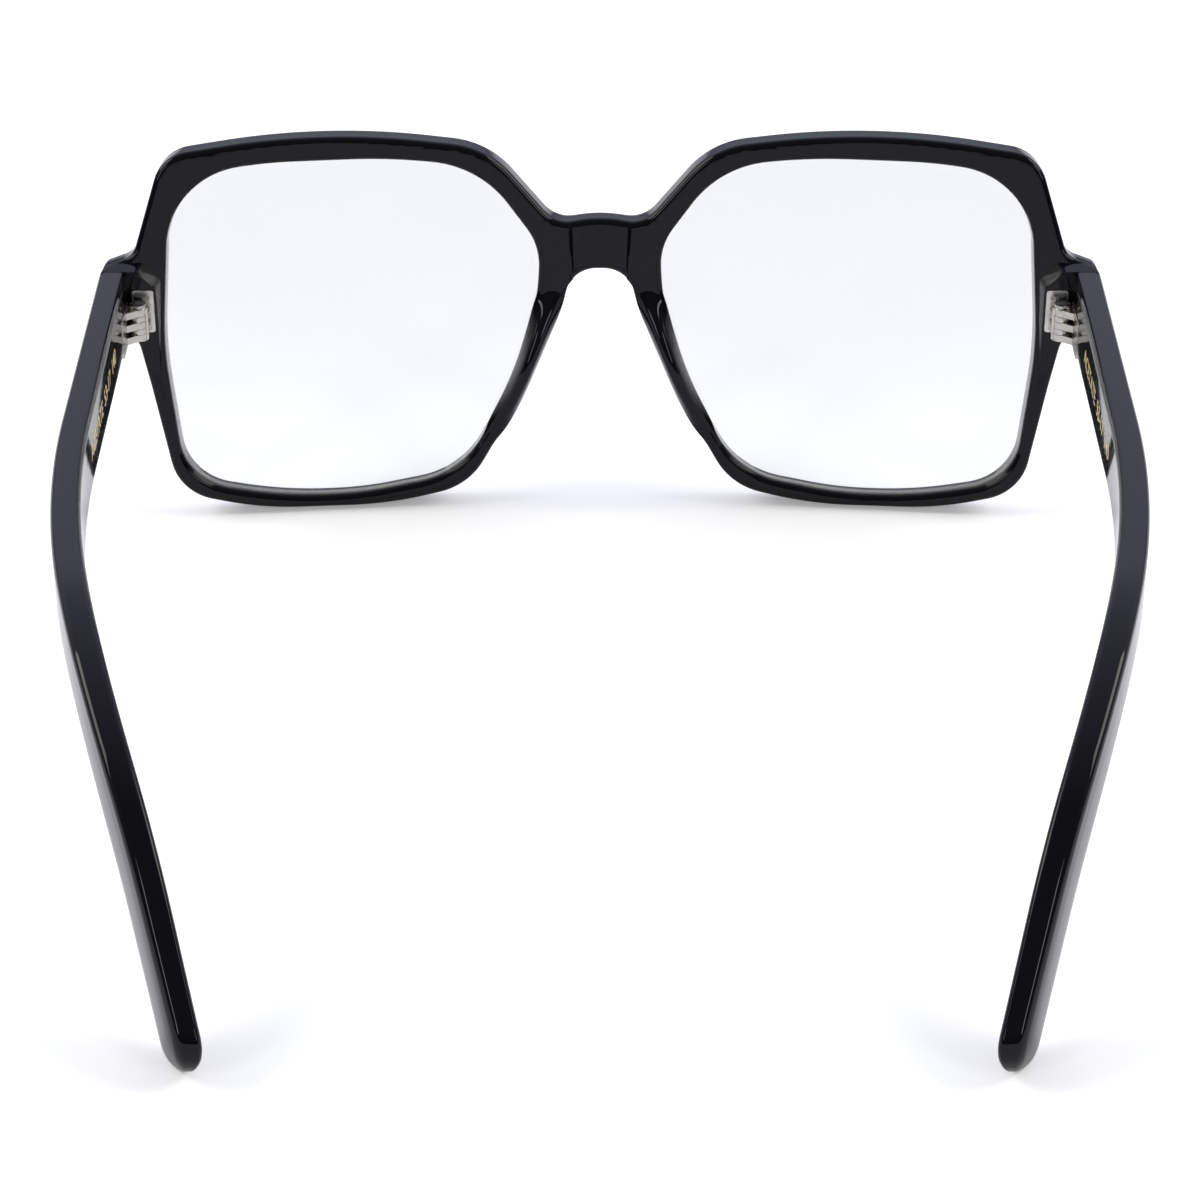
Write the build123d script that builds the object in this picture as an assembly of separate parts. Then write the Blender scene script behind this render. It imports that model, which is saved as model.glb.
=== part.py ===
from build123d import *
import math
import os

# Front: the lens openings, the bridge and the sheet they are cut from.
lens_width = 53.4
lens_height = 49.4
bridge_width = 17.0
rim_bottom_width = 1.8
rim_top_width = 3.3
front_thickness = 4.2
front_curve_radius = 400.0
pantoscopic_angle = 9.0
front_edge_bevel = 0.6
opening_edge_bevel = 0.3
bridge_scoop_radius = 15.0
bridge_scoop_depth = 0.5

# Lenses: thin curved blanks with a bevel that sits in the rim groove.
lens_thickness = 1.8
groove_depth = 0.65
lens_bevel = 0.55
lens_clearance = 0.05

# End pieces: the flat upright seat behind each outer corner, for the hinge and the temple.
seat_distance = 1.3
seat_reach_inward = 7.6
seat_corner_cut = 2.4
seat_wall_angle = 15.0
seat_opening_margin = 0.4

# Nose pads: leaf-shaped blocks cemented behind the nose side of each rim.
pad_length = 19.0
pad_width = 4.6
pad_nose_bow = 0.4
pad_height = 2.7
pad_wall_angle = 32.0
pad_inset = 0.3

# Temples.
temple_thickness = 3.75
temple_butt_height = 9.3
temple_bend_height = 8.8
temple_tip_height = 9.8
temple_corner_reach = 106.0
ear_bend_angle = 51.4
ear_bend_share = 0.836
toe_in_angle = 0.65
bow_angle = 20.3
bow_radius = 200.0
bow_corner_reach = 78.7
temple_edge_bevel = 0.6
butt_gap = 0.1
tip_round_share = 0.47

# Hinges: five knuckles on one screw, three on the temple leaf and two on the frame leaf.
barrel_radius = 1.3
temple_knuckle_height = 1.0
frame_knuckle_height = 0.8
knuckle_gap = 0.05
knuckle_count = 5
leaf_thickness = 0.8
leaf_proud = 0.15
leaf_corner_radius = 0.4
leaf_fit = 0.02
barrel_to_leaf = 0.14
frame_leaf_width = 3.0
frame_leaf_height = 6.4
frame_leaf_offset = 0.55
temple_leaf_length = 7.2
temple_leaf_height = 5.6
temple_leaf_setback = 0.9
temple_root_length = 2.6
anchor_width = 1.0
anchor_length = 1.5
anchor_spacing = 3.6

# Screws.
screw_shaft_radius = 0.6
screw_head_radius = 1.1
screw_head_height = 0.55
screw_slot_width = 0.3
screw_slot_depth = 0.3
running_clearance = 0.04
thread_clearance = 0.01

# Core wires.
wire_width = 1.2
wire_butt_setback = 0.6
wire_tip_setback = 12.0
wire_clearance = 0.03

# One overrun serves every cut that goes right through.
overrun = 6.0

# Corners of the front's outline on one half, from the bridge's top round to its underside:
# share of the bridge width and of the lens width across, of the front height up, and of the
# shorter side beside the corner that its rounding takes.
front_corner_shares = (
    (0.000, 0.000, 0.779, 0.450),
    (0.365, 0.000, 0.762, 0.400),
    (0.500, 0.133, 0.964, 0.346),
    (0.500, 0.557, 1.017, 0.633),
    (0.500, 0.979, 0.963, 0.237),
    (0.500, 1.062, 0.703, 0.329),
    (0.500, 1.142, 0.675, 0.372),
    (0.500, 1.146, 0.508, 0.340),
    (0.500, 1.060, 0.501, 0.500),
    (0.500, 0.970, 0.053, 0.394),
    (0.500, 0.749, 0.000, 0.433),
    (0.500, 0.412, 0.000, 0.500),
    (0.500, 0.195, 0.048, 0.363),
    (0.500, 0.056, 0.286, 0.257),
    (0.206, 0.000, 0.641, 0.430),
)
end_piece_shares = front_corner_shares[6:8]
nose_side_shares = (front_corner_shares[12], front_corner_shares[14])

# Corners of one lens opening: share of the lens width across, of the lens height up, and of
# the shorter side beside the corner that its rounding takes.
lens_corner_shares = (
    (0.393, 1.000, 0.420),
    (0.702, 0.995, 0.240),
    (0.962, 0.962, 0.700),
    (0.993, 0.464, 0.260),
    (0.949, 0.056, 0.435),
    (0.693, 0.000, 0.500),
    (0.487, 0.000, 0.415),
    (0.219, 0.054, 0.413),
    (0.071, 0.334, 0.450),
    (0.008, 0.565, 0.530),
    (0.000, 0.739, 0.365),
    (0.157, 0.972, 0.520),
)

# Heights of single pieces up the front, as shares of the front height, and where the rim
# touches the table, as a share of the lens width.
pad_centre_share = 0.385
hinge_height_share = 0.565
frame_leaf_height_share = 0.583
temple_leaf_height_share = 0.570
anchor_height_share = 0.550
rest_place_share = 0.580

# The front's own plane: x across, y up the sheet, z forward, with the top leaning forward.
front_height = rim_bottom_width + lens_height + rim_top_width
half_bridge = bridge_width / 2
half_width = half_bridge + end_piece_shares[1][1] * lens_width
tilt = math.radians(pantoscopic_angle)
rest_x = half_bridge + rest_place_share * lens_width
rest_sag = rest_x**2 / (2 * front_curve_radius)
front_lift = (front_thickness - front_edge_bevel - rest_sag) * math.sin(tilt)
front_plane = Plane(
    origin=(0, 0, front_lift),
    x_dir=(1, 0, 0),
    z_dir=(0, -math.cos(tilt), -math.sin(tilt)),
)

# The upright seat plane behind the end pieces, and the temple's butt face on it.
end_sag = half_width**2 / (2 * front_curve_radius)
seat_y = end_sag + seat_distance - math.sin(tilt) * end_piece_shares[0][2] * front_height
butt_y = seat_y + butt_gap


def height_at_seat(share):
    """Height above the table where the outline's edge meets the upright seat plane."""
    up = share * front_height
    rearward = (seat_y + up * math.sin(tilt)) / math.cos(tilt)
    return front_lift + up * math.cos(tilt) + rearward * math.sin(tilt)


# The temple's level axis, and the slanting run behind the ear that ends on the table.
end_piece_top = height_at_seat(end_piece_shares[0][2])
end_piece_foot = height_at_seat(end_piece_shares[1][2])
temple_axis_z = end_piece_top - temple_butt_height / 2
ear_angle = math.radians(ear_bend_angle)
tip_radius = tip_round_share * temple_tip_height
tip_rise = (temple_tip_height / 2 - tip_radius) * math.cos(ear_angle)
slant_length = (temple_axis_z - tip_radius - tip_rise) / math.sin(ear_angle) + tip_radius
ear_bend_run = ear_bend_share * (slant_length - wire_tip_setback)
ear_bend_radius = ear_bend_run / math.tan(ear_angle / 2)

# The hinge axis: inboard of the temple and behind the seat, clear of both leaves.
inner_face_x = half_width - temple_thickness
leaf_to_axis = barrel_to_leaf + barrel_radius
hinge_x = inner_face_x - leaf_proud - leaf_to_axis
hinge_y = seat_y + leaf_proud + leaf_to_axis
temple_knuckles = (knuckle_count + 1) // 2
frame_knuckles = knuckle_count // 2
stack_height = temple_knuckles * temple_knuckle_height + frame_knuckles * frame_knuckle_height
stack_height += (knuckle_count - 1) * knuckle_gap
stack_z = hinge_height_share * front_height - stack_height / 2
stack_top = stack_z + stack_height


def round_prism(radius):
    """A solid upright cylinder about the front's centre of curvature, in the front's plane."""
    height = front_height + 2 * overrun
    place = Pos(0, front_height / 2, -front_curve_radius) * Rot(90, 0, 0)
    return place * Cylinder(radius, height)


def curved_slab(back_offset, thickness):
    """The space between two upright cylinders, so many mm in front of the back face."""
    inner = front_curve_radius + back_offset
    return round_prism(inner + thickness) - round_prism(inner)


def rounded_outline(corners):
    """A closed outline: each corner's rounding takes its share of the shorter side beside it."""
    points = [Vector(x, y) for x, y, share in corners]
    radii = []
    for index, point in enumerate(points):
        before = point - points[index - 1]
        after = points[(index + 1) % len(points)] - point
        run = corners[index][2] * min(before.length, after.length)
        radii.append(run / math.tan(math.radians(before.get_angle(after)) / 2))
    return make_face(FilletPolyline(points, radius=radii, close=True))


def front_outline():
    """The whole front's outline, both halves from one table of corners."""
    half = []
    for across_bridge, across_lens, up, rounding in front_corner_shares:
        x = across_bridge * bridge_width + across_lens * lens_width
        half.append((x, up * front_height, rounding))
    return rounded_outline(half + [(-x, y, rounding) for x, y, rounding in reversed(half[1:])])


def lens_outline():
    """Outline of the +X lens opening."""
    corners = []
    for across, up, rounding in lens_corner_shares:
        x = half_bridge + across * lens_width
        corners.append((x, rim_bottom_width + up * lens_height, rounding))
    return rounded_outline(corners)


def through(face):
    """A prism through the sheet on one outline."""
    depth = front_thickness + 2 * overrun
    return Pos(0, 0, -depth) * extrude(face, amount=2 * depth, dir=(0, 0, 1))


def edge_loops(sheet, openings):
    """Edges round the two large faces of a sheet: of its openings, or of its outline."""
    edges = []
    for face in sheet.faces().sort_by(SortBy.AREA)[-2:]:
        wires = face.inner_wires() if openings else [face.outer_wire()]
        for wire in wires:
            edges += wire.edges()
    return edges


def both_sides(solid):
    """A solid of the +X half with its mirror twin."""
    return solid + mirror(solid, about=Plane.YZ)


def lens_blank(growth):
    """The +X lens in the front's plane, grown all round for the groove that holds it."""
    thickness = lens_thickness + 2 * growth
    outline = offset(lens_outline(), amount=groove_depth + growth)
    back = (front_thickness - thickness) / 2
    blank = through(outline) & curved_slab(back, thickness)
    return chamfer(edge_loops(blank, False), lens_bevel)


def end_seat():
    """The raised flat seat of the +X end piece: upright, with its upper inner corner cut off."""
    inner = half_width - seat_reach_inward
    outer = half_width + overrun
    low = end_piece_foot - overrun
    high = end_piece_top + overrun
    corner = end_piece_top - seat_corner_cut / 2
    points = (
        (inner, low),
        (outer, low),
        (outer, high),
        (inner + seat_corner_cut, high),
        (inner + seat_corner_cut, corner + seat_corner_cut / 2),
        (inner, corner - seat_corner_cut / 2),
    )
    upright = Plane(origin=(0, seat_y, 0), x_dir=(1, 0, 0), z_dir=(0, -1, 0))
    footprint = upright * make_face(Polyline(*points, close=True))
    block = extrude(footprint, amount=2 * overrun, taper=-seat_wall_angle)
    inside = through(front_outline()) & round_prism(front_curve_radius + front_thickness / 2)
    inside -= through(offset(lens_outline(), amount=seat_opening_margin))
    return block & front_plane.location * inside


def knuckle_heights(on_temple):
    """Lower ends and heights of one leaf's knuckles in the shared stack."""
    places = []
    z = stack_z
    for index in range(knuckle_count):
        temple_turn = index % 2 == 0
        height = temple_knuckle_height if temple_turn else frame_knuckle_height
        if temple_turn == on_temple:
            places.append((z, height))
        z += height + knuckle_gap
    return places


def screw_hole(radius, low, height):
    """A round hole or shaft on the hinge axis."""
    align = (Align.CENTER, Align.CENTER, Align.MIN)
    return Pos(hinge_x, hinge_y, low) * Cylinder(radius, height, align=align)


def anchor(growth):
    """A square leg that holds a leaf's plate in the acetate."""
    width = anchor_width + 2 * growth
    return extrude(Rectangle(width, width), amount=leaf_thickness + anchor_length + growth)


def frame_leaf_plate(growth):
    """The frame leaf's plate with its two anchors, sunk in the end piece's seat."""
    width = frame_leaf_width + 2 * growth
    height = frame_leaf_height + 2 * growth
    thickness = leaf_thickness + growth
    rear = seat_y + leaf_proud
    centre = (hinge_x - frame_leaf_offset, rear, frame_leaf_height_share * front_height)
    face = Plane(origin=centre, x_dir=(1, 0, 0), z_dir=(0, -1, 0))
    plate = extrude(RectangleRounded(width, height, leaf_corner_radius), amount=thickness)
    for side in (-1, 1):
        plate += Pos(0, side * anchor_spacing / 2, 0) * anchor(growth)
    return face * plate


def temple_leaf_plate(growth):
    """The temple leaf's plate with its two anchors, sunk in the temple's inner face."""
    length = temple_leaf_length + 2 * growth
    height = temple_leaf_height + 2 * growth
    thickness = leaf_thickness + growth
    inner = inner_face_x - leaf_proud
    middle = butt_y + temple_leaf_setback + temple_leaf_length / 2
    centre = (inner, middle, temple_leaf_height_share * front_height)
    face = Plane(origin=centre, x_dir=(0, 1, 0), z_dir=(1, 0, 0))
    plate = extrude(RectangleRounded(length, height, leaf_corner_radius), amount=thickness)
    drop = anchor_height_share * front_height - centre[2]
    for side in (-1, 1):
        plate += Pos(side * anchor_spacing / 2, drop, 0) * anchor(growth)
    return face * plate


def frame_hinge_leaf():
    """Plate, and knuckles whose roots rise from it to the hinge axis."""
    leaf = frame_leaf_plate(0)
    root_y = seat_y + leaf_proud - leaf_thickness / 2
    plate_edge = hinge_x - frame_leaf_offset + frame_leaf_width / 2
    root = Polyline(
        (hinge_x - barrel_radius - leaf_proud, root_y),
        (plate_edge, root_y),
        (plate_edge, seat_y + leaf_proud),
        (hinge_x + barrel_radius, hinge_y),
        (hinge_x - barrel_radius, hinge_y),
        close=True,
    )
    section = make_face(root) + Pos(hinge_x, hinge_y) * Circle(barrel_radius)
    for low, height in knuckle_heights(False):
        leaf += Pos(0, 0, low) * extrude(section, amount=height)
    bore = screw_hole(screw_shaft_radius + running_clearance, stack_z, stack_height)
    return leaf - bore


def temple_hinge_leaf():
    """Plate, and broad knuckles whose roots run back along it."""
    leaf = temple_leaf_plate(0)
    root_x = inner_face_x - leaf_proud + leaf_thickness / 2
    plate_start = butt_y + temple_leaf_setback
    root = Polyline(
        (hinge_x, hinge_y + barrel_radius),
        (root_x, hinge_y + temple_root_length),
        (root_x, plate_start),
        (inner_face_x - leaf_proud, plate_start),
        (hinge_x, hinge_y - barrel_radius),
        close=True,
    )
    section = make_face(root) + Pos(hinge_x, hinge_y) * Circle(barrel_radius)
    places = knuckle_heights(True)
    for low, height in places:
        leaf += Pos(0, 0, low) * extrude(section, amount=height)
    threaded_low, threaded_height = places[0]
    leaf -= screw_hole(screw_shaft_radius + thread_clearance, threaded_low, threaded_height)
    open_low = threaded_low + threaded_height
    leaf -= screw_hole(screw_shaft_radius + running_clearance, open_low, stack_height)
    return leaf


def hinge_screw():
    """Slotted screw: the head on the top knuckle, the shaft down to the foot of the stack."""
    screw = screw_hole(screw_shaft_radius, stack_z, stack_height)
    screw += screw_hole(screw_head_radius, stack_top, screw_head_height)
    slot = Box(2 * screw_head_radius, screw_slot_width, 2 * screw_slot_depth)
    return screw - Pos(hinge_x, hinge_y, stack_top + screw_head_height) * slot


def bent_bar(start, corner, end, widths, radius, end_radius):
    """A flat bar's outline: two straight runs and one bend, as wide as stated at each point."""
    start, corner, end = Vector(*start), Vector(*corner), Vector(*end)
    first = (corner - start).normalized()
    last = (end - corner).normalized()
    first_side = Vector(-first.Y, first.X)
    last_side = Vector(-last.Y, last.X)
    middle = (first_side + last_side).normalized()
    at_start = first_side * (widths[0] / 2)
    at_corner = middle * (widths[1] / 2 / middle.dot(first_side))
    at_end = last_side * (widths[2] / 2)
    points = [start + at_start, corner + at_corner, end + at_end]
    points += [end - at_end, corner - at_corner, start - at_start]
    half_bend = math.copysign(widths[1] / 2, first.cross(last).Z)
    radii = [0, radius - half_bend, end_radius, end_radius, radius + half_bend, 0]
    return make_face(FilletPolyline(points, radius=radii, close=True))


def side_outline(start_y, heights, setback, end_radius):
    """A temple's bar seen from the side, as (Y, Z): level, then down behind the ear."""
    corner = (butt_y + temple_corner_reach, temple_axis_z)
    slant = slant_length - setback
    end = (corner[0] + slant * math.cos(ear_angle), corner[1] - slant * math.sin(ear_angle))
    return bent_bar((start_y, temple_axis_z), corner, end, heights, ear_bend_radius, end_radius)


def plan_outline(width):
    """A temple's bar seen from above, as (X, Y): nearly straight, then bowed inward."""
    toe = math.radians(toe_in_angle)
    bow = math.radians(toe_in_angle + bow_angle)
    butt_x = half_width - temple_thickness / 2
    start = (butt_x + overrun * math.tan(toe), butt_y - overrun)
    corner = (butt_x - bow_corner_reach * math.tan(toe), butt_y + bow_corner_reach)
    reach = temple_corner_reach + slant_length - bow_corner_reach
    end = (corner[0] - reach * math.tan(bow), corner[1] + reach)
    return bent_bar(start, corner, end, (width, width, width), bow_radius, 0)


def bent_both_ways(side, plan):
    """The solid that has one outline from the side and the other from above."""
    from_side = extrude(Plane.YZ * side, amount=half_width + overrun)
    from_above = Pos(0, 0, -overrun) * extrude(plan, amount=front_height + 2 * overrun)
    return from_side & from_above


def core_wire(growth, start_y):
    """The steel core, or with growth and an earlier start the bore that it lies in."""
    width = wire_width + 2 * growth
    side = side_outline(start_y, (width, width, width), wire_tip_setback - growth, 0)
    return bent_both_ways(side, plan_outline(width))


def temple():
    """One-piece acetate temple with rounded edges and tip, open at the butt for its core."""
    heights = (temple_butt_height, temple_bend_height, temple_tip_height)
    side = side_outline(butt_y, heights, 0, tip_radius)
    bar = bent_both_ways(side, plan_outline(temple_thickness))
    edges = [edge for edge in bar.edges() if edge.center().Y > butt_y + temple_edge_bevel]
    bar = chamfer(edges, temple_edge_bevel)
    bar -= core_wire(wire_clearance, butt_y - overrun)
    return bar - temple_leaf_plate(leaf_fit)


def leaf_side(middle, outward, bow, lean):
    """A round block whose arc is one side of the pad's leaf, leaning in or out as it rises."""
    radius = (pad_length**2 / 4 + bow**2) / (2 * bow)
    centre = middle + outward * (bow - radius)
    align = (Align.CENTER, Align.CENTER, Align.MIN)
    top_radius = radius + lean * pad_height * math.tan(math.radians(pad_wall_angle))
    foot = Cylinder(radius, front_edge_bevel, align=align)
    block = foot + Rot(180, 0, 0) * Cone(radius, top_radius, pad_height, align=align)
    return Pos(centre.X, centre.Y) * block


def nose_pad():
    """The +X pad in the front's plane: a leaf with sloped sides, seated on the back face."""
    ends = []
    for across_bridge, across_lens, up, rounding in nose_side_shares:
        x = across_bridge * bridge_width + across_lens * lens_width
        ends.append(Vector(x, up * front_height))
    along = (ends[1] - ends[0]).normalized()
    outward = Vector(along.Y, -along.X)
    climb = (pad_centre_share * front_height - ends[0].Y) / along.Y
    middle = ends[0] + along * climb + outward * pad_inset
    rim_side = leaf_side(middle, outward, pad_width, -1)
    nose_side = leaf_side(middle, outward, pad_nose_bow, 1)
    return rim_side - nose_side


def front_frame():
    """The acetate front: curved sheet, openings, grooves, end seats and hinge recesses."""
    outline = through(front_outline())
    sheet = outline & curved_slab(0, front_thickness)
    sheet = chamfer(edge_loops(sheet, False), front_edge_bevel)
    sheet -= both_sides(through(lens_outline()))
    sheet = chamfer(edge_loops(sheet, True), opening_edge_bevel)
    scoop_z = bridge_scoop_depth - bridge_scoop_radius
    scoop = Rot(90, 0, 0) * Cylinder(bridge_scoop_radius, 2 * front_height)
    sheet -= Pos(0, front_height, scoop_z) * scoop
    frame = front_plane.location * sheet + both_sides(end_seat())
    frame -= front_plane.location * both_sides(lens_blank(lens_clearance))
    return frame - both_sides(frame_leaf_plate(leaf_fit))


def write_part(pieces):
    """Moves all pieces together, stands them on their box's bottom centre and writes them."""
    os.makedirs("parts", exist_ok=True)
    whole = Compound(list(pieces.values())).bounding_box()
    centre = whole.center()
    to_origin = Pos(-centre.X, -centre.Y, -whole.min.Z)
    for name, solid in pieces.items():
        export_step(to_origin * solid, f"parts/{name}.step")
    return to_origin.position


frame_solid = front_frame()
halves = {
    "nose_pad": front_plane.location * nose_pad(),
    "lens": front_plane.location * lens_blank(0),
    "frame_hinge_leaf": frame_hinge_leaf(),
    "temple_hinge_leaf": temple_hinge_leaf(),
    "hinge_screw": hinge_screw(),
    "temple": temple(),
    "core_wire": core_wire(0, butt_y + wire_butt_setback),
}
pieces = {"front_frame": frame_solid}
for name, solid in halves.items():
    pieces[name + "_left"] = solid
    pieces[name + "_right"] = mirror(solid, about=Plane.YZ)
for name in ("nose_pad_left", "nose_pad_right"):
    pieces[name] -= frame_solid
shift = write_part(pieces)

print("hinge axis", hinge_x + shift.X, hinge_y + shift.Y, stack_z + shift.Z, stack_top + shift.Z)
print("seat plane y", seat_y + shift.Y, "end piece z", end_piece_foot, end_piece_top)
print("slant", slant_length, "ear bend radius", ear_bend_radius, "shift", shift)
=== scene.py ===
import math

import bpy
from mathutils import Matrix, Vector


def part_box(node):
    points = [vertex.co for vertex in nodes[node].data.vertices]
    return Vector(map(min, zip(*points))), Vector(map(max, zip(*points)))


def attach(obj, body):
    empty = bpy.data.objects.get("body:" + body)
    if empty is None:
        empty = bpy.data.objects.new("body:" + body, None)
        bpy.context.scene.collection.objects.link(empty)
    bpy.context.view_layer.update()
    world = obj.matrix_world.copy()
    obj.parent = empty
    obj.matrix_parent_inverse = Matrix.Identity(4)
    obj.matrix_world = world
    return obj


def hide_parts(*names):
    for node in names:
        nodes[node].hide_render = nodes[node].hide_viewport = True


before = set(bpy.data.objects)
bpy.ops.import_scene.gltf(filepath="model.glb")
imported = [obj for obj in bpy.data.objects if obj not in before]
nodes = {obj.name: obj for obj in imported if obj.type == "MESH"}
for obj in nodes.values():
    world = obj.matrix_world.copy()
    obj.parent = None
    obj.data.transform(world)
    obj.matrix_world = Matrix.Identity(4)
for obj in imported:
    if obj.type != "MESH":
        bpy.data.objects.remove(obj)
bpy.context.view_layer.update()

# Front. One sheet of black cellulose acetate, sawn to its outline with the two lens openings,
# bowed over a warm former and tumbled with polish until every edge is round. The flat seats
# for the temples are milled on the same sheet. Sizes are in millimetres until they are placed.
millimetre = 0.001
lens_width = 53.4
lens_height = 49.4
bridge_width = 17.0
rim_foot = 1.8
front_height = 54.5
sheet_thickness = 4.2
sheet_bow = 400.0
sheet_lean = math.radians(9)
face_rounding = 0.35
back_rounding = 0.8
rounding_segments = 4
arc_step = 0.9
arc_turn = math.radians(7)
arc_least_steps = 4
slice_step = 2.5
sheet_weld = 0.002
seam_weld = 0.01
scoop_flat = 2.2
scoop_radius = 7.0
scoop_foot_depth = 0.24
scoop_top_depth = 0.42
scoop_foot = 34.5
scoop_top = 41.5
scoop_slice = 0.3
scoop_reach = 5.4
seat_distance = 1.3
seat_width = 7.6
seat_corner = 2.4
seat_root = -3.4
seat_stock = -10.0
seat_wall = math.radians(15)
seat_top_slope = math.radians(9)
seat_rounding = 0.5
mitre_margin = 1.0
ridge_margin = 3.6
ridge_drop = 2.5
ridge_run = 1.5
butt_gap = 0.1
wave_size = 14.0
wave_detail = 1.0
mark_size = 1.6
mark_detail = 6.0
faint_mark = 0.42
plain_mark = 0.72

# Corners of one half of the outline, from the bridge's top round to its underside: share of
# the bridge and of the lens across, of the front's height up, and of the shorter side beside
# the corner that its rounding takes.
front_corner_shares = (
    (0.000, 0.000, 0.779, 0.450),
    (0.365, 0.000, 0.762, 0.400),
    (0.500, 0.133, 0.964, 0.346),
    (0.500, 0.557, 1.017, 0.633),
    (0.500, 0.979, 0.963, 0.237),
    (0.500, 1.062, 0.703, 0.329),
    (0.500, 1.143, 0.677, 0.160),
    (0.500, 1.146, 0.508, 0.340),
    (0.500, 1.060, 0.501, 0.500),
    (0.500, 0.970, 0.053, 0.394),
    (0.500, 0.749, 0.000, 0.433),
    (0.500, 0.412, 0.000, 0.500),
    (0.500, 0.195, 0.048, 0.363),
    (0.500, 0.056, 0.286, 0.257),
    (0.206, 0.000, 0.641, 0.430),
)
# Corners of a lens opening: share of the lens across and up, and its rounding's share.
opening_corner_shares = (
    (0.393, 1.000, 0.420),
    (0.702, 0.995, 0.240),
    (0.962, 0.962, 0.700),
    (0.993, 0.464, 0.260),
    (0.949, 0.056, 0.435),
    (0.693, 0.000, 0.500),
    (0.487, 0.000, 0.415),
    (0.219, 0.054, 0.413),
    (0.071, 0.334, 0.450),
    (0.008, 0.565, 0.530),
    (0.000, 0.739, 0.365),
    (0.157, 0.972, 0.520),
)
end_piece_share = 0.675

# The temple's butt fixes where the sheet stands: its seat, and its foot under the bridge.
temple_low, temple_high = (Vector(corner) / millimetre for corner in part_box("temple_left"))
half_width = temple_high.x
seat_back = temple_low.y - butt_gap
end_piece_up = end_piece_share * front_height
seat_ahead = half_width**2 / (2 * sheet_bow) + seat_distance - math.sin(sheet_lean) * end_piece_up
seat_slant = (seat_ahead + end_piece_up * math.sin(sheet_lean)) / math.cos(sheet_lean)
end_piece_rise = end_piece_up * math.cos(sheet_lean) + seat_slant * math.sin(sheet_lean)
foot_y = seat_back - seat_ahead
foot_z = temple_high.z - end_piece_rise


def pick(*pieces):
    """Leaves only these objects selected, the last of them active."""
    bpy.ops.object.select_all(action="DESELECT")
    for piece in pieces:
        piece.select_set(True)
        bpy.context.view_layer.objects.active = piece


def rounded_loop(corners):
    """A closed outline whose corners are arcs, each taking its share of the shorter side."""
    points = [Vector(corner[:2]) for corner in corners]
    loop = []
    for index, point in enumerate(points):
        before = points[index - 1] - point
        after = points[(index + 1) % len(points)] - point
        run = corners[index][2] * min(before.length, after.length)
        if run == 0:
            loop.append(point)
            continue
        turn = math.pi - before.angle(after)
        radius = run / math.tan(turn / 2)
        middle = (before.normalized() + after.normalized()).normalized()
        centre = point + middle * math.hypot(radius, run)
        spoke = point + before.normalized() * run - centre
        last = point + after.normalized() * run - centre
        way = math.copysign(turn, spoke.x * last.y - spoke.y * last.x)
        steps = max(arc_least_steps, round(turn * radius / arc_step), round(turn / arc_turn))
        for step in range(steps + 1):
            loop.append(centre + Matrix.Rotation(way * step / steps, 2) @ spoke)
    return loop


def weld(piece, distance):
    """Merges the points of a piece that lie no farther apart than this."""
    pick(piece)
    bpy.ops.object.mode_set(mode="EDIT")
    bpy.ops.mesh.select_all(action="SELECT")
    bpy.ops.mesh.remove_doubles(threshold=distance)
    bpy.ops.object.mode_set(mode="OBJECT")


def turn_outward(piece):
    """Turns every face of a closed piece outwards."""
    pick(piece)
    bpy.ops.object.mode_set(mode="EDIT")
    bpy.ops.mesh.select_all(action="SELECT")
    bpy.ops.mesh.normals_make_consistent(inside=False)
    bpy.ops.object.mode_set(mode="OBJECT")


def cut_sheet(name, loops, thickness, rounding, growth=0.0):
    """A flat sheet cut to closed outlines, holes included, with its edges rounded."""
    outline = bpy.data.curves.new(name, "CURVE")
    outline.dimensions = "2D"
    outline.fill_mode = "BOTH"
    outline.bevel_depth = rounding
    outline.bevel_resolution = rounding_segments
    outline.offset = growth - rounding
    outline.extrude = thickness / 2 - rounding
    for loop in loops:
        spline = outline.splines.new("POLY")
        spline.points.add(len(loop) - 1)
        spline.points.foreach_set("co", [value for point in loop for value in (*point, 0, 1)])
        spline.use_cyclic_u = True
    sheet = bpy.data.objects.new(name, outline)
    bpy.context.collection.objects.link(sheet)
    pick(sheet)
    bpy.ops.object.convert(target="MESH")
    sheet = bpy.context.object
    weld(sheet, sheet_weld)
    turn_outward(sheet)
    return sheet


def slice_up(piece, places):
    """Scores a flat piece across at each place, so that it can be bent there."""
    pick(piece)
    bpy.ops.object.mode_set(mode="EDIT")
    for place in places:
        bpy.ops.mesh.select_all(action="SELECT")
        bpy.ops.mesh.bisect(plane_co=(place, 0, 0), plane_no=(1, 0, 0))
    bpy.ops.object.mode_set(mode="OBJECT")


def split_off(piece, side):
    """Splits a flat piece through its middle and leaves the cut open; that side falls away."""
    pick(piece)
    bpy.ops.object.mode_set(mode="EDIT")
    bpy.ops.mesh.select_all(action="SELECT")
    bpy.ops.mesh.bisect(plane_co=(0, 0, 0), plane_no=(0, 0, side), clear_outer=True)
    bpy.ops.object.mode_set(mode="OBJECT")


def saw_off(piece, place, normal):
    """Saws a piece on a plane and closes the cut; what lies on the normal's side falls away."""
    pick(piece)
    bpy.ops.object.mode_set(mode="EDIT")
    bpy.ops.mesh.select_all(action="SELECT")
    bpy.ops.mesh.bisect(plane_co=place, plane_no=normal, use_fill=True, clear_outer=True)
    bpy.ops.object.mode_set(mode="OBJECT")


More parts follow.
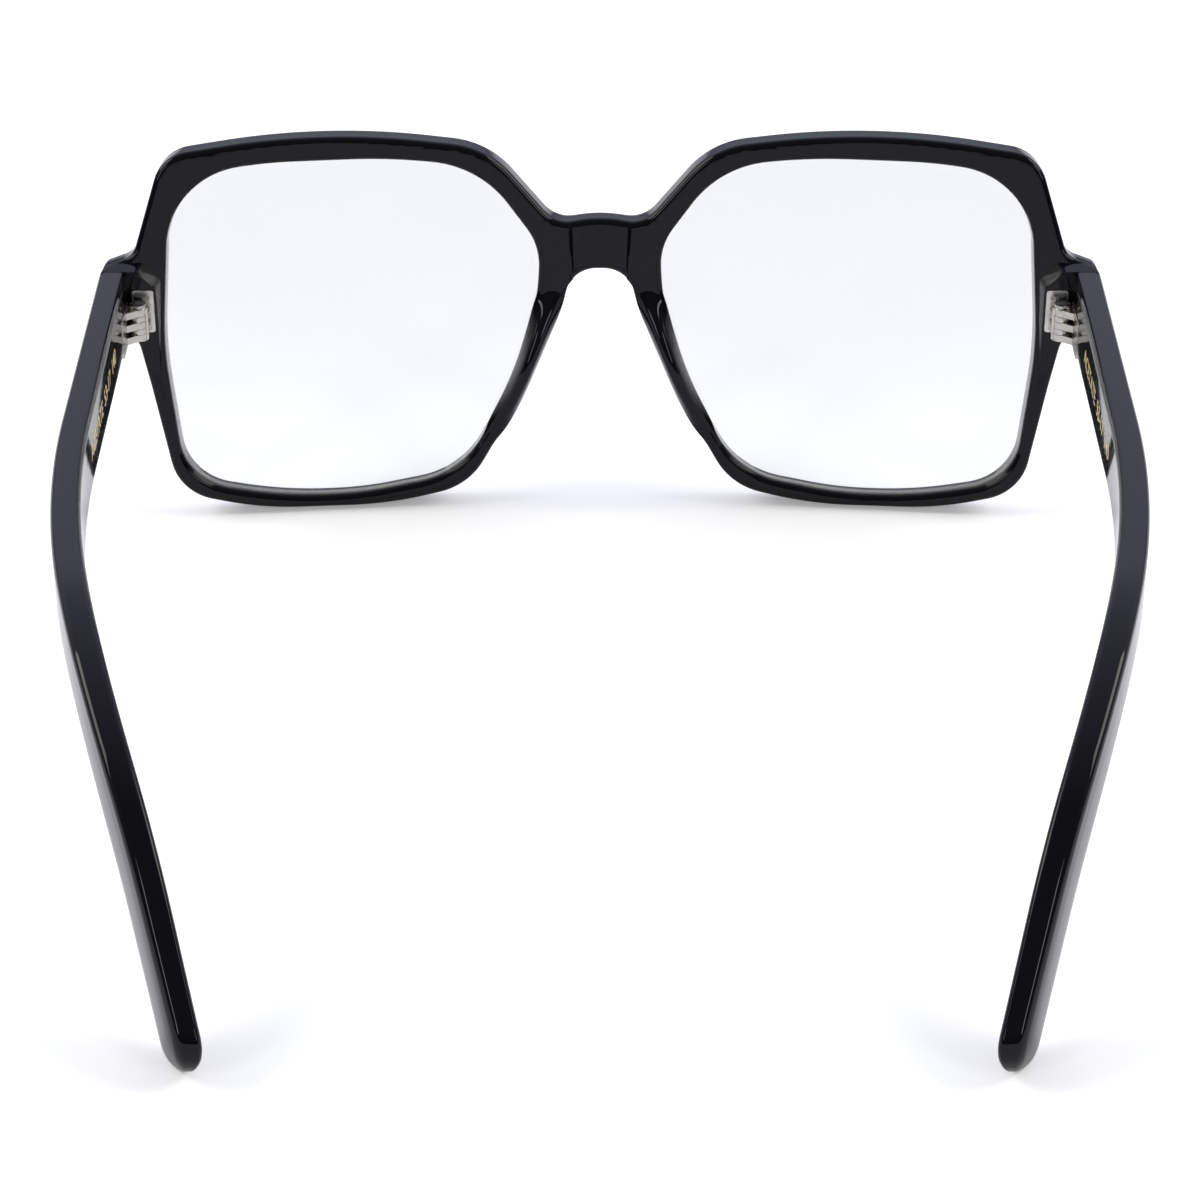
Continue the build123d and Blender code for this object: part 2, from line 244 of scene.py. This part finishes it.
def sheet_back(x, y):
    """How far forward the back face is, with the bridge's back scooped out towards its top."""
    bowed = math.sqrt(sheet_bow**2 - x**2) - sheet_bow
    rise = min(max((y - scoop_foot) / (scoop_top - scoop_foot), 0), 1)
    deepest = scoop_foot_depth + (scoop_top_depth - scoop_foot_depth) * rise
    aside = max(abs(x) - scoop_flat, 0)
    return max(bowed, deepest - aside**2 / (2 * scoop_radius))


def stand_up(x, y, forward):
    """A point of the leaning front, in the frame's own millimetres."""
    up = foot_z + math.cos(sheet_lean) * y - math.sin(sheet_lean) * forward
    back = foot_y - math.sin(sheet_lean) * y - math.cos(sheet_lean) * forward
    return Vector((x, back, up))


def bend_to_front(piece):
    """Bows a flat piece with the sheet, back and face each on its own curve, and stands it."""
    outer_bow = sheet_bow + sheet_thickness
    for vertex in piece.data.vertices:
        x, y, depth = vertex.co
        forward = sheet_back(x, y) + sheet_thickness / 2 + depth
        if depth > 0:
            forward = math.sqrt(outer_bow**2 - x**2) - sheet_bow - sheet_thickness / 2 + depth
        vertex.co = stand_up(x, y, forward) * millimetre


def polish(piece, sharp_angle=45):
    """Smooths the shading over rounded edges and keeps the broad faces flat."""
    pick(piece)
    bpy.ops.object.shade_smooth_by_angle(angle=math.radians(sharp_angle))
    soft = piece.modifiers.new("even_faces", "WEIGHTED_NORMAL")
    soft.keep_sharp = True
    bpy.ops.object.modifier_apply(modifier=soft.name)


def mirrored(piece, name):
    """The twin for the other side, with its own mesh."""
    twin = piece.copy()
    twin.data = piece.data.copy()
    twin.name = name
    twin.data.name = name
    bpy.context.collection.objects.link(twin)
    twin.data.transform(Matrix.Scale(-1, 4, (1, 0, 0)))
    twin.data.flip_normals()
    return twin


def noise(tree, size, detail):
    """A noise on the object's own coordinates, its grain so many millimetres wide."""
    place = tree.nodes.new("ShaderNodeTexCoord")
    grain = tree.nodes.new("ShaderNodeTexNoise")
    grain.inputs["Scale"].default_value = 1 / (size * millimetre)
    grain.inputs["Detail"].default_value = detail
    tree.links.new(place.outputs["Object"], grain.inputs["Vector"])
    return grain


def polished_surface():
    """A group for every polished piece: slow waves from the wheel, and fine handling marks."""
    group = bpy.data.node_groups.new("polished_surface", "ShaderNodeTree")
    group.interface.new_socket("Wave Height", in_out="INPUT", socket_type="NodeSocketFloat")
    group.interface.new_socket("Dark", in_out="INPUT", socket_type="NodeSocketColor")
    group.interface.new_socket("Light", in_out="INPUT", socket_type="NodeSocketColor")
    group.interface.new_socket("Clean", in_out="INPUT", socket_type="NodeSocketFloat")
    group.interface.new_socket("Handled", in_out="INPUT", socket_type="NodeSocketFloat")
    group.interface.new_socket("Colour", in_out="OUTPUT", socket_type="NodeSocketColor")
    group.interface.new_socket("Roughness", in_out="OUTPUT", socket_type="NodeSocketFloat")
    group.interface.new_socket("Normal", in_out="OUTPUT", socket_type="NodeSocketVector")
    given = group.nodes.new("NodeGroupInput")
    result = group.nodes.new("NodeGroupOutput")
    waves = noise(group, wave_size, wave_detail)
    bump = group.nodes.new("ShaderNodeBump")
    bump.inputs["Strength"].default_value = 1.0
    group.links.new(given.outputs["Wave Height"], bump.inputs["Distance"])
    group.links.new(waves.outputs["Fac"], bump.inputs["Height"])
    group.links.new(bump.outputs["Normal"], result.inputs["Normal"])
    marks = noise(group, mark_size, mark_detail)
    spread = group.nodes.new("ShaderNodeMapRange")
    spread.inputs["From Min"].default_value = faint_mark
    spread.inputs["From Max"].default_value = plain_mark
    group.links.new(marks.outputs["Fac"], spread.inputs["Value"])
    group.links.new(given.outputs["Clean"], spread.inputs["To Min"])
    group.links.new(given.outputs["Handled"], spread.inputs["To Max"])
    group.links.new(spread.outputs["Result"], result.inputs["Roughness"])
    tones = group.nodes.new("ShaderNodeMix")
    tones.data_type = "RGBA"
    group.links.new(waves.outputs["Fac"], tones.inputs["Factor"])
    group.links.new(given.outputs["Dark"], tones.inputs["A"])
    group.links.new(given.outputs["Light"], tones.inputs["B"])
    group.links.new(tones.outputs["Result"], result.inputs["Colour"])
    return group


surface_group = polished_surface()


def finish(name, dark, light, clean, handled, wave_height, metallic=0.0, ior=1.5):
    """A material from the polished surface, with its shader here and its own values."""
    material = bpy.data.materials.new(name)
    material.use_nodes = True
    tree = material.node_tree
    shader = tree.nodes["Principled BSDF"]
    shader.inputs["Metallic"].default_value = metallic
    shader.inputs["IOR"].default_value = ior
    surface = tree.nodes.new("ShaderNodeGroup")
    surface.node_tree = surface_group
    surface.inputs["Dark"].default_value = (*dark, 1)
    surface.inputs["Light"].default_value = (*light, 1)
    surface.inputs["Clean"].default_value = clean
    surface.inputs["Handled"].default_value = handled
    surface.inputs["Wave Height"].default_value = wave_height * millimetre
    tree.links.new(surface.outputs["Colour"], shader.inputs["Base Color"])
    tree.links.new(surface.outputs["Roughness"], shader.inputs["Roughness"])
    tree.links.new(surface.outputs["Normal"], shader.inputs["Normal"])
    return material


black_acetate = finish(
    "black_acetate",
    dark=(0.0022, 0.0020, 0.0034),
    light=(0.0040, 0.0038, 0.0058),
    clean=0.035,
    handled=0.075,
    wave_height=0.02,
    ior=1.31,
)


def give_material(piece, material):
    """Takes off what materials a piece has and gives it this one."""
    piece.data.materials.clear()
    piece.data.materials.append(material)


def dress(piece, material, body, slot, *replaced):
    """Gives a piece its material, its body and the nodes that it stands for; the slot is not
    used.
    """
    give_material(piece, material)
    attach(piece, body)
    if replaced:
        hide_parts(*replaced)


half_outline = []
for across_bridge, across_lens, up, rounding in front_corner_shares:
    across = across_bridge * bridge_width + across_lens * lens_width
    half_outline.append((across, up * front_height, rounding))
other_half = [(-x, y, rounding) for x, y, rounding in reversed(half_outline[1:])]
outer_loop = rounded_loop(half_outline + other_half)
opening_corners = []
for across, up, rounding in opening_corner_shares:
    place = (bridge_width / 2 + across * lens_width, rim_foot + up * lens_height, rounding)
    opening_corners.append(place)
opening_loop = rounded_loop(opening_corners)
twin_loop = [Vector((-point.x, point.y)) for point in reversed(opening_loop)]

# The face and the back are rounded by different amounts, so each comes from a sheet of its own
# and the two halves are joined in the middle of the thickness.
sheet_loops = [outer_loop, opening_loop, twin_loop]
front = cut_sheet("acetate_front", sheet_loops, sheet_thickness, face_rounding)
back_half = cut_sheet("back_half", sheet_loops, sheet_thickness, back_rounding)
split_off(front, -1)
split_off(back_half, 1)
pick(back_half, front)
bpy.ops.object.join()
weld(front, seam_weld)
across_steps = int(half_width / slice_step)
scoop_steps = int(scoop_reach / scoop_slice)
across_places = {step * slice_step for step in range(-across_steps, across_steps + 1)}
across_places |= {step * scoop_slice for step in range(-scoop_steps, scoop_steps + 1)}
slice_up(front, sorted(across_places))
bend_to_front(front)

# The seat is sawn from a block behind the same outline: the flat for the butt, the sloping
# wall beside the lens, the cut-off corner and the top. Its edges are then broken.
seat_inner = half_width - seat_width
corner_up = temple_high.z - seat_corner / 2
seat = cut_sheet("seat", [outer_loop], sheet_thickness, 0.0)
for vertex in seat.data.vertices:
    forward = seat_stock if vertex.co.z < 0 else seat_root
    vertex.co = stand_up(vertex.co.x, vertex.co.y, forward)
wall_side, wall_back = math.cos(seat_wall), math.sin(seat_wall)
saw_off(seat, (0, seat_back, 0), (0, 1, 0))
saw_off(seat, (seat_inner, seat_back, 0), (-wall_side, wall_back, 0))
slant_side = wall_side / math.sqrt(2)
slant_place = (seat_inner + seat_corner / 2, seat_back, corner_up)
saw_off(seat, slant_place, (-slant_side, wall_back, slant_side))
top_back, top_up = math.sin(seat_top_slope), math.cos(seat_top_slope)
saw_off(seat, (half_width, seat_back, temple_high.z), (0, top_back, top_up))
pick(seat)
bpy.ops.object.mode_set(mode="EDIT")
bpy.ops.mesh.select_all(action="DESELECT")
bpy.ops.object.mode_set(mode="OBJECT")
mitre_inner = half_width - mitre_margin
ridge_inner = half_width - ridge_margin
ridge_low = corner_up - ridge_drop
for edge in seat.data.edges:
    ends = [seat.data.vertices[index].co for index in edge.vertices]
    around = all(abs(end.y - seat_back) < seam_weld and end.x < mitre_inner for end in ends)
    ridge = all(end.z > ridge_low and end.x < ridge_inner for end in ends)
    edge.select = around or (ridge and abs(ends[0].y - ends[1].y) > ridge_run)
bpy.ops.object.mode_set(mode="EDIT")
bpy.ops.mesh.bevel(offset=seat_rounding, segments=rounding_segments)
bpy.ops.object.mode_set(mode="OBJECT")
seat.data.transform(Matrix.Scale(millimetre, 4))
far_seat = mirrored(seat, "far_seat")
pick(seat, far_seat, front)
bpy.ops.object.join()
polish(front)
dress(front, black_acetate, "front", "acetate", "front_frame")

# Nose pads. A leaf of the same acetate is cemented behind the nose side of each rim, filed to
# a soft ridge and polished with the front, so that no joint shows.
pad_foot = 9.0
pad_top = 33.6
pad_height = 3.0
pad_sink = 0.75
pad_inset = 0.15
pad_shell = 0.6
pad_ridge_share = 0.47
pad_fullness = 0.8
pad_sharp_angle = 60
pad_columns = 24
pad_rows = 48


def nose_side(loop, y):
    """How far across a closed outline passes at this height, on its side towards the nose."""
    found = []
    for index, point in enumerate(loop):
        before = loop[index - 1]
        if (before.y - y) * (point.y - y) <= 0 and before.y != point.y:
            share = (y - before.y) / (point.y - before.y)
            found.append(before.x + share * (point.x - before.x))
    return min(x for x in found if x > 0)


bpy.ops.object.select_all(action="DESELECT")
bpy.ops.mesh.primitive_grid_add(x_subdivisions=pad_columns, y_subdivisions=pad_rows, size=2)
pad = bpy.context.object
pad.name = "nose_pad_leaf_left"
for vertex in pad.data.vertices:
    width_share = (vertex.co.x + 1) / 2
    run = vertex.co.y
    up = (pad_foot + pad_top + run * (pad_top - pad_foot)) / 2
    inner = nose_side(outer_loop, up) + pad_inset
    outer = nose_side(opening_loop, up) - pad_inset
    across = inner + width_share * (outer - inner)
    taper = math.cos(math.pi * run / 2) ** 2
    toward_rim = width_share ** (math.log(0.5) / math.log(pad_ridge_share))
    swell = math.sin(math.pi * toward_rim) ** pad_fullness if 0 < toward_rim < 1 else 0
    out = pad_height * swell * taper - pad_sink
    vertex.co = stand_up(across, up, sheet_back(across, up) - out)
weld(pad, seam_weld)
shell = pad.modifiers.new("thick", "SOLIDIFY")
shell.thickness = pad_shell
shell.offset = -1
bpy.ops.object.modifier_apply(modifier=shell.name)
turn_outward(pad)
pad.data.transform(Matrix.Scale(millimetre, 4))
for side, leaf in (("left", pad), ("right", mirrored(pad, "nose_pad_leaf_right"))):
    polish(leaf, pad_sharp_angle)
    dress(leaf, black_acetate, "front", "acetate", "nose_pad_" + side)

# Lenses. Clear display lenses of thin hard plastic, edged to the opening with a bevel that
# snaps into the groove of the rim.
lens_thickness = 1.8
lens_bevel = 0.3
lens_first_slice = 3

clear_lens = finish(
    "clear_lens",
    dark=(0.935, 0.943, 0.939),
    light=(0.950, 0.957, 0.953),
    clean=0.0,
    handled=0.01,
    wave_height=0.0,
    ior=1.5,
)
lens_nodes = clear_lens.node_tree.nodes
lens_links = clear_lens.node_tree.links
lens_shader = lens_nodes["Principled BSDF"]
lens_shader.inputs["Transmission Weight"].default_value = 1.0
light_path = lens_nodes.new("ShaderNodeLightPath")
let_through = lens_nodes.new("ShaderNodeBsdfTransparent")
let_through.inputs["Color"].default_value = (0.97, 0.975, 0.972, 1)
blend = lens_nodes.new("ShaderNodeMixShader")
lens_links.new(light_path.outputs["Is Shadow Ray"], blend.inputs["Fac"])
lens_links.new(lens_shader.outputs["BSDF"], blend.inputs[1])
lens_links.new(let_through.outputs["BSDF"], blend.inputs[2])
lens_links.new(blend.outputs["Shader"], lens_nodes["Material Output"].inputs["Surface"])

lens = cut_sheet("lens_blank_left", [opening_loop], lens_thickness, lens_bevel, growth=lens_bevel)
slice_up(lens, [step * slice_step for step in range(lens_first_slice, across_steps + 1)])
bend_to_front(lens)
for side, blank in (("left", lens), ("right", mirrored(lens, "lens_blank_right"))):
    polish(blank)
    dress(blank, clear_lens, "front", "lens", "lens_" + side)

# Hinge leaves. Stamped and milled nickel silver, two knuckles on the front and three on the
# temple, tumbled bright and sunk in the acetate with their anchors.
leaf_edge = 0.07
edge_segments = 2
edge_angle = math.radians(40)

hinge_metal = finish(
    "bright_nickel_silver",
    dark=(0.41, 0.39, 0.36),
    light=(0.66, 0.64, 0.60),
    clean=0.20,
    handled=0.36,
    wave_height=0.03,
    metallic=1.0,
)


def soften_edges(node, width):
    """Breaks the sharp edges of a metal node with a small bevel."""
    closed = node.modifiers.new("weld", "WELD")
    closed.merge_threshold = sheet_weld * millimetre
    edge_break = node.modifiers.new("edge_break", "BEVEL")
    edge_break.width = width * millimetre
    edge_break.segments = edge_segments
    edge_break.limit_method = "ANGLE"
    edge_break.angle_limit = edge_angle
    even = node.modifiers.new("even_faces", "WEIGHTED_NORMAL")
    even.keep_sharp = False


for name in (
    "frame_hinge_leaf_left",
    "frame_hinge_leaf_right",
    "temple_hinge_leaf_left",
    "temple_hinge_leaf_right",
):
    give_material(nodes[name], hinge_metal)
    soften_edges(nodes[name], leaf_edge)

# Hinge screws. Small slotted screws of stainless steel, turned and polished, put in from above
# through all five knuckles and screwed into the lowest.
screw_edge = 0.05

screw_metal = finish(
    "turned_steel",
    dark=(0.32, 0.32, 0.33),
    light=(0.50, 0.50, 0.51),
    clean=0.18,
    handled=0.34,
    wave_height=0.01,
    metallic=1.0,
)
for name in ("hinge_screw_left", "hinge_screw_right"):
    give_material(nodes[name], screw_metal)
    soften_edges(nodes[name], screw_edge)

# Core wires. Drawn steel wire, shot into the warm temples from the butt. It stiffens them and
# stays out of sight in the black acetate.
core_metal = finish(
    "drawn_wire",
    dark=(0.38, 0.38, 0.37),
    light=(0.52, 0.52, 0.51),
    clean=0.30,
    handled=0.45,
    wave_height=0.01,
    metallic=1.0,
)
for name in ("core_wire_left", "core_wire_right"):
    give_material(nodes[name], core_metal)

# Temples. Each is sawn from black acetate sheet, its long edges rounded, bent down behind the
# ear and bowed inward while warm, with a round tip. Its butt meets the seat in a tight mitre.
temple_thickness = 3.75
butt_height = 9.3
bend_height = 8.8
tip_height = 9.8
tip_round_share = 0.47
bend_round_share = 0.1
temple_rounding = 0.9
tip_nose = 4.0
tip_slice = 0.4
tip_flat_share = 0.85
tip_crown_share = 0.26
tip_crown_power = 3
tip_thin_share = 0.06
tip_lean = 0.4
ear_reach = 106.0
ear_angle = math.radians(51.4)
ear_radius = 50.1
toe_in = math.radians(0.65)
bow_reach = 78.7
bow_end = math.radians(20.95)
bow_radius = 200.0
temple_slice = 2.0
butt_spare = 3.0

butt_y = temple_low.y
axis_z = temple_high.z - butt_height / 2
ear_setback = ear_radius * math.tan(ear_angle / 2)
ear_arc = ear_radius * ear_angle
ear_start = ear_reach - ear_setback
ear_stop = ear_start + ear_arc
tip_radius = tip_round_share * tip_height
tip_drop = (tip_height / 2 - tip_radius) * math.cos(ear_angle)
slant = (axis_z - tip_radius - tip_drop) / math.sin(ear_angle) + tip_radius
temple_length = ear_stop + slant - ear_setback
bow_setback = bow_radius * math.tan((bow_end - toe_in) / 2)
bow_corner_x = half_width - temple_thickness / 2 - bow_reach * math.tan(toe_in)
bow_start_y = butt_y + bow_reach - bow_setback * math.cos(toe_in)
bow_start_x = bow_corner_x + bow_setback * math.sin(toe_in)
bow_centre_y = bow_start_y - bow_radius * math.sin(toe_in)
bow_centre_x = bow_start_x - bow_radius * math.cos(toe_in)


def temple_point(run, rise, inboard):
    """A point of the straight temple after both bends: run back, rise up, inboard across."""
    if run < ear_start:
        y, z, tilt = butt_y + run, axis_z, 0
    else:
        tilt = min(run - ear_start, ear_arc) / ear_radius
        past = max(run - ear_stop, 0)
        y = butt_y + ear_start + ear_radius * math.sin(tilt) + past * math.cos(tilt)
        z = axis_z - ear_radius * (1 - math.cos(tilt)) - past * math.sin(tilt)
    y += rise * math.sin(tilt)
    z += rise * math.cos(tilt)
    if y < bow_start_y:
        heading = toe_in
        x = bow_start_x + (bow_start_y - y) * math.tan(toe_in)
    else:
        heading = min(math.asin((y - bow_centre_y) / bow_radius), bow_end)
        past = y - bow_centre_y - bow_radius * math.sin(heading)
        x = bow_centre_x + bow_radius * math.cos(heading) - past * math.tan(heading)
    return Vector((x - inboard / math.cos(heading), y, z))


temple_loop = rounded_loop([
    (-butt_spare, -butt_height / 2, 0),
    (ear_start + ear_arc / 2, -bend_height / 2, bend_round_share),
    (temple_length, -tip_height / 2, tip_round_share),
    (temple_length, tip_height / 2, tip_round_share),
    (ear_start + ear_arc / 2, bend_height / 2, bend_round_share),
    (-butt_spare, butt_height / 2, 0),
])
temple = cut_sheet("acetate_temple_left", [temple_loop], temple_thickness, temple_rounding)
saw_off(temple, (0, 0, 0), (-1, 0, 0))
temple_steps = int(temple_length / temple_slice)
nose_steps = int(tip_nose / tip_slice)
slice_up(temple, [step * temple_slice for step in range(1, temple_steps + 1)])
slice_up(temple, [temple_length - step * tip_slice for step in range(1, nose_steps + 1)])
for vertex in temple.data.vertices:
    run, rise, inboard = vertex.co.x, vertex.co.y, -vertex.co.z
    into_nose = max(1 - (temple_length - run) / tip_nose, 0)
    inboard *= math.sqrt(1 - tip_flat_share * into_nose**2)
    soft = min(max((run - ear_start) / (temple_length - ear_start - tip_nose), 0), 1)
    crown = tip_crown_share * abs(2 * rise / tip_height) ** tip_crown_power
    inboard = inboard * (1 - soft * (tip_thin_share + crown)) + tip_lean * soft**2
    vertex.co = temple_point(run, rise, inboard) * millimetre
turn_outward(temple)
for side, bar in (("left", temple), ("right", mirrored(temple, "acetate_temple_right"))):
    polish(bar)
    dress(bar, black_acetate, "temple_arm_" + side, "acetate", "temple_" + side)

# Size figures. The material and the lens, bridge and temple sizes, hot stamped in gold foil on
# the inner side of each temple.
figure_height = 2.2
figure_capital_share = 0.7
figure_start = 16.0
figure_slice = 1.0
figure_sink = 0.02
figure_proud = 0.03
figure_weld = 0.001

gold_foil = finish(
    "gold_foil",
    dark=(0.55, 0.40, 0.16),
    light=(0.80, 0.62, 0.30),
    clean=0.25,
    handled=0.45,
    wave_height=0.01,
    metallic=1.0,
)
for side, way in (("left", -1), ("right", 1)):
    figures = bpy.data.curves.new("size_figures_" + side, "FONT")
    figures.body = "ACETATE  53-17  140"
    figures.size = figure_height / figure_capital_share
    figures.extrude = (figure_sink + figure_proud) / 2
    stamp = bpy.data.objects.new("size_figures_" + side, figures)
    bpy.context.collection.objects.link(stamp)
    pick(stamp)
    bpy.ops.object.convert(target="MESH")
    stamp = bpy.context.object
    length = max(vertex.co.x for vertex in stamp.data.vertices)
    slices = int(length / figure_slice)
    slice_up(stamp, [step * figure_slice for step in range(1, slices + 1)])
    for vertex in stamp.data.vertices:
        back = vertex.co.x if way > 0 else length - vertex.co.x
        inboard = temple_thickness / 2 + (figure_proud - figure_sink) / 2 + vertex.co.z
        rise = vertex.co.y - figure_height / 2
        spot = temple_point(figure_start + back, rise, inboard)
        vertex.co = Vector((-way * spot.x, spot.y, spot.z)) * millimetre
    weld(stamp, figure_weld * millimetre)
    turn_outward(stamp)
    dress(stamp, gold_foil, "temple_arm_" + side, "hinge_metal")

# Table and lamps. A plain white table between two wide soft boxes, in a bright room that is
# dimmer on the camera's side and near the table. Sizes are in metres here.
table_size = 6.0
table_lift = 0.25
room_strength = 0.95
bright_wall = (0.90, 0.95, 1.18, 1)
dim_wall = (0.16, 0.16, 0.18, 1)
bright_wall_end = -0.5
dim_wall_start = 0.3
haze_top = 0.45
haze_share = 0.30

bpy.ops.mesh.primitive_plane_add(size=table_size, location=(0, 0, 0))
table = bpy.context.object
table.name = "table"
white_table = bpy.data.materials.new("white_table")
white_table.use_nodes = True
table_shader = white_table.node_tree.nodes["Principled BSDF"]
table_shader.inputs["Base Color"].default_value = (0.97, 0.97, 0.965, 1)
table_shader.inputs["Roughness"].default_value = 0.9
table_shader.inputs["Specular IOR Level"].default_value = 0.1
table_shader.inputs["Emission Color"].default_value = (1, 1, 1, 1)
seen = white_table.node_tree.nodes.new("ShaderNodeLightPath")
lift = white_table.node_tree.nodes.new("ShaderNodeMath")
lift.operation = "MULTIPLY"
lift.inputs[1].default_value = table_lift
white_table.node_tree.links.new(seen.outputs["Is Camera Ray"], lift.inputs[0])
white_table.node_tree.links.new(lift.outputs["Value"], table_shader.inputs["Emission Strength"])
table.data.materials.append(white_table)

room = bpy.data.worlds.new("bright_room")
bpy.context.scene.world = room
room.use_nodes = True
room_nodes = room.node_tree.nodes
room_links = room.node_tree.links
direction = room_nodes.new("ShaderNodeTexCoord")
parts = room_nodes.new("ShaderNodeSeparateXYZ")
toward_camera = room_nodes.new("ShaderNodeMapRange")
toward_camera.inputs["From Min"].default_value = bright_wall_end
toward_camera.inputs["From Max"].default_value = dim_wall_start
shade = room_nodes.new("ShaderNodeMix")
shade.data_type = "RGBA"
shade.inputs["A"].default_value = bright_wall
shade.inputs["B"].default_value = dim_wall
room_links.new(direction.outputs["Generated"], parts.inputs["Vector"])
room_links.new(parts.outputs["Y"], toward_camera.inputs["Value"])
room_links.new(toward_camera.outputs["Result"], shade.inputs["Factor"])
haze = room_nodes.new("ShaderNodeMapRange")
haze.inputs["From Min"].default_value = 0.0
haze.inputs["From Max"].default_value = haze_top
haze.inputs["To Min"].default_value = haze_share
haze.inputs["To Max"].default_value = 1.0
room_links.new(parts.outputs["Z"], haze.inputs["Value"])
low_wall = room_nodes.new("ShaderNodeMix")
low_wall.data_type = "RGBA"
low_wall.inputs["A"].default_value = (0, 0, 0, 1)
room_links.new(haze.outputs["Result"], low_wall.inputs["Factor"])
room_links.new(shade.outputs["Result"], low_wall.inputs["B"])
room_links.new(low_wall.outputs["Result"], room_nodes["Background"].inputs["Color"])
room_nodes["Background"].inputs["Strength"].default_value = room_strength

# The camera sees the room as plain white, also through the lenses.
seen_wall = room_nodes.new("ShaderNodeBackground")
seen_wall.inputs["Color"].default_value = (1, 1, 1, 1)
seen_wall.inputs["Strength"].default_value = 1.0
room_path = room_nodes.new("ShaderNodeLightPath")
seen_or_through = room_nodes.new("ShaderNodeMath")
seen_or_through.operation = "MAXIMUM"
room_links.new(room_path.outputs["Is Camera Ray"], seen_or_through.inputs[0])
room_links.new(room_path.outputs["Is Transmission Ray"], seen_or_through.inputs[1])
pick_wall = room_nodes.new("ShaderNodeMixShader")
room_links.new(seen_or_through.outputs["Value"], pick_wall.inputs["Fac"])
room_links.new(room_nodes["Background"].outputs["Background"], pick_wall.inputs[1])
room_links.new(seen_wall.outputs["Background"], pick_wall.inputs[2])
room_links.new(pick_wall.outputs["Shader"], room_nodes["World Output"].inputs["Surface"])


def hang_lamps(name, place, aim_height, size, energy, colour=(1.0, 1.0, 1.0)):
    """Two equal soft boxes, left and right, turned to a point above the table's middle."""
    across, back, up = place
    for side in (-1, 1):
        lamp = bpy.data.lights.new(name, "AREA")
        lamp.shape = "RECTANGLE"
        lamp.size, lamp.size_y = size
        lamp.energy = energy
        lamp.color = colour
        stand = bpy.data.objects.new(name, lamp)
        stand.location = (side * across, back, up)
        aim = Vector((0, 0, aim_height)) - stand.location
        stand.rotation_euler = aim.to_track_quat("-Z", "Y").to_euler()
        bpy.context.collection.objects.link(stand)


# The wide ones stand at the sides and light the table. The narrow ones, behind the camera,
# draw the thin lights along the rounded edges.
hang_lamps(
    "soft_box",
    place=(1.1, -0.1, 0.9),
    aim_height=0.02,
    size=(0.7, 0.7),
    energy=8.0,
    colour=(1.0, 0.96, 0.87),
)
hang_lamps(
    "strip_lamp",
    place=(0.62, 0.66, 0.42),
    aim_height=0.03,
    size=(0.16, 0.45),
    energy=1.4,
)

# The camera stands behind the temples at the photograph's angle and looks towards the front.
camera_place = (0, 0.3844, 0.2472)
camera_dip = 30.55

camera_data = bpy.data.cameras.new("camera")
camera_data.sensor_width = 36
camera_data.lens = 105.57
camera = bpy.data.objects.new("camera", camera_data)
camera.location = camera_place
camera.rotation_euler = (math.radians(90 - camera_dip), 0, math.radians(180))
bpy.context.collection.objects.link(camera)
bpy.context.scene.camera = camera
bpy.context.scene.view_settings.view_transform = "Standard"
